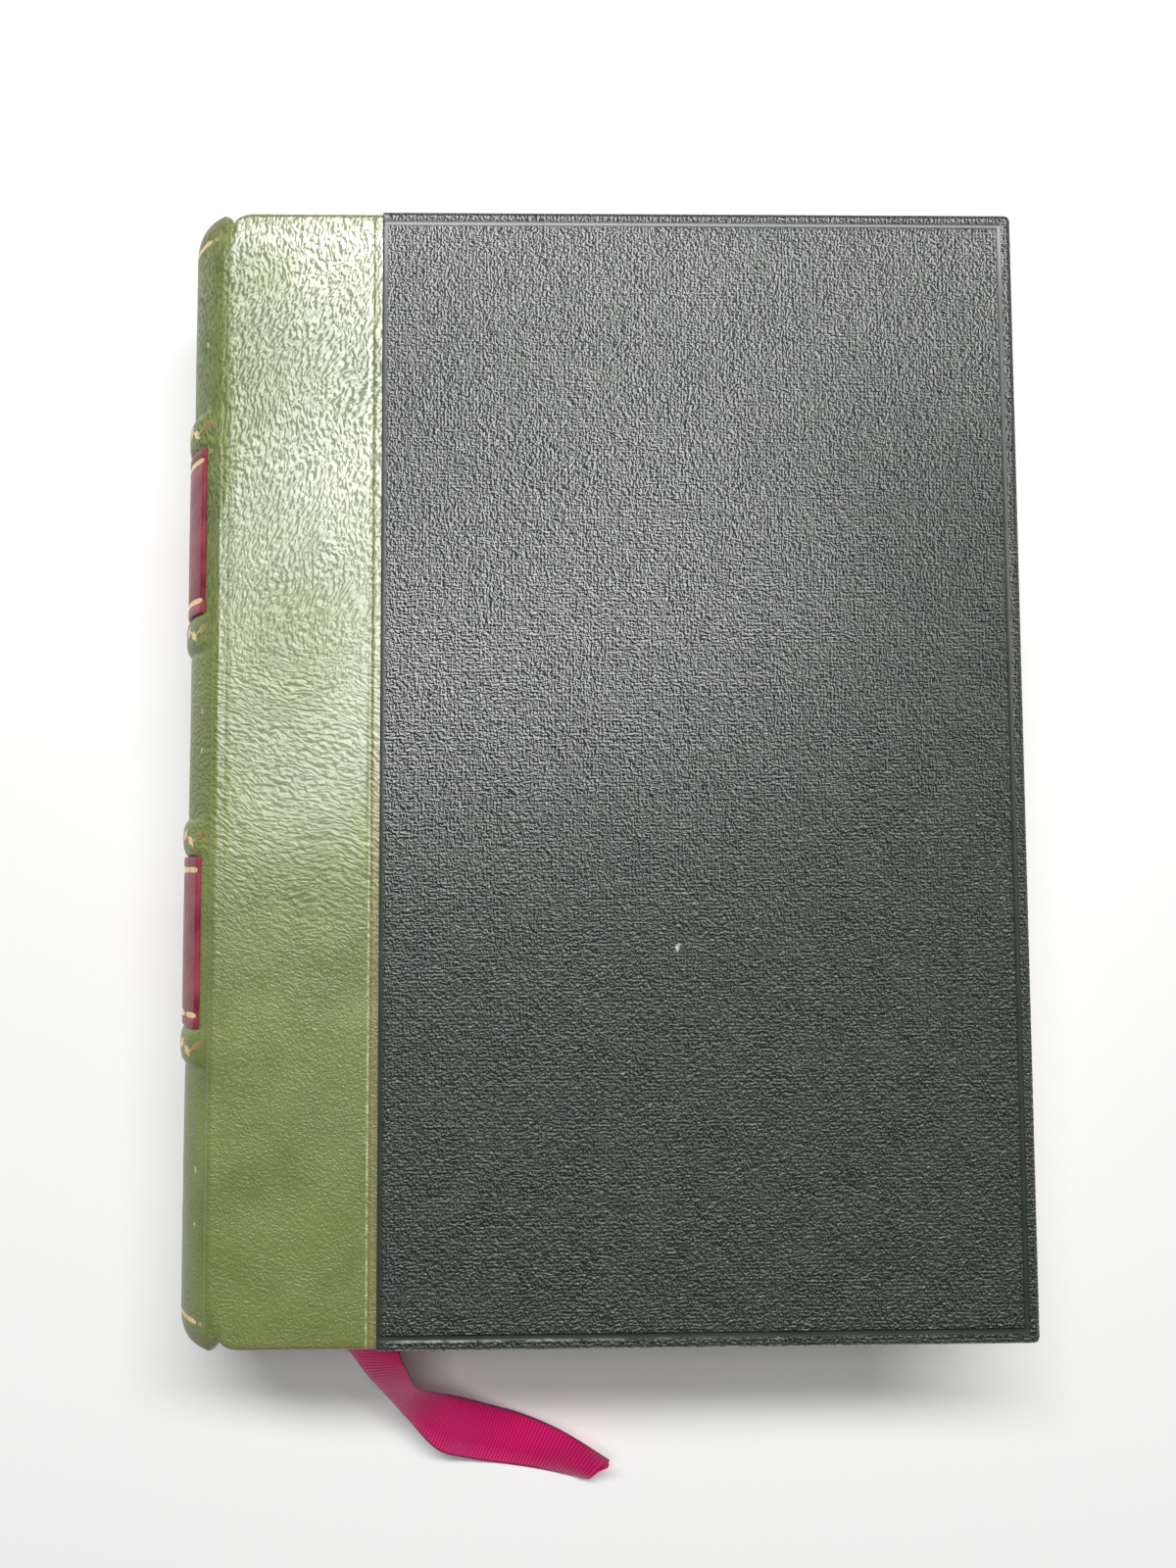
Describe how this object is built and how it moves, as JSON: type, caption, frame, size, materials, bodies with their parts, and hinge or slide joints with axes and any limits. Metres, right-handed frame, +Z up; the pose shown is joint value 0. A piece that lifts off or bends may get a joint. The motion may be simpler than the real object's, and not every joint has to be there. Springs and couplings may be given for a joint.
{
  "type": "hardback book",
  "caption": "Closed quarter-leather hardback book with a rounded spine, raised bands, blank labels, opening covers and a ribbon marker.",
  "frame": {"origin": "centre of the back cover's outer face, midway between joint and fore-edge and between head and tail", "axes": "+Z up from the back cover through the front cover, +Y towards the head, +X from the spine towards the fore-edge"},
  "size_m": [0.1611, 0.2537, 0.036],
  "materials": {
    "pages": "cut edges of cream book paper",
    "endpaper": "plain cream endpaper",
    "ribbon": "satin ribbon with a woven rib",
    "lining": "linen and paper spine lining",
    "board": "grey millboard",
    "green_leather": "polished olive green leather with a fine grain",
    "label_leather": "thin maroon leather, polished",
    "side_cloth": "embossed black-green leathercloth",
    "endband": "silk sewn over a cord",
    "gilt": "gold leaf tooling, a little rubbed"
  },
  "bodies": {
    "text_block": {"text_block": "pages", "front_flyleaf": "endpaper", "back_flyleaf": "endpaper", "ribbon_marker": "ribbon", "spine_lining": "lining", "raised_band_1": "board", "raised_band_2": "board", "raised_band_3": "board", "raised_band_4": "board", "spine_leather": "green_leather", "upper_label": "label_leather", "lower_label": "label_leather", "head_endband": "endband", "tail_endband": "endband"},
    "front_cover": {"front_board": "board", "front_leather": "green_leather", "front_cloth": "side_cloth", "front_pastedown": "endpaper"},
    "back_cover": {"back_board": "board", "back_leather": "green_leather", "back_cloth": "side_cloth", "back_pastedown": "endpaper"}
  },
  "joints": [
    {"name": "front_hinge", "type": "hinge", "parent": "text_block", "child": "front_cover", "pos_m": [-0.0745, 0, 0.0362], "axis": [0, -1, 0], "range_deg": [0, 180]},
    {"name": "back_hinge", "type": "hinge", "parent": "text_block", "child": "back_cover", "pos_m": [-0.0745, 0, -0.0002], "axis": [0, 1, 0], "range_deg": [0, 180]}
  ]
}
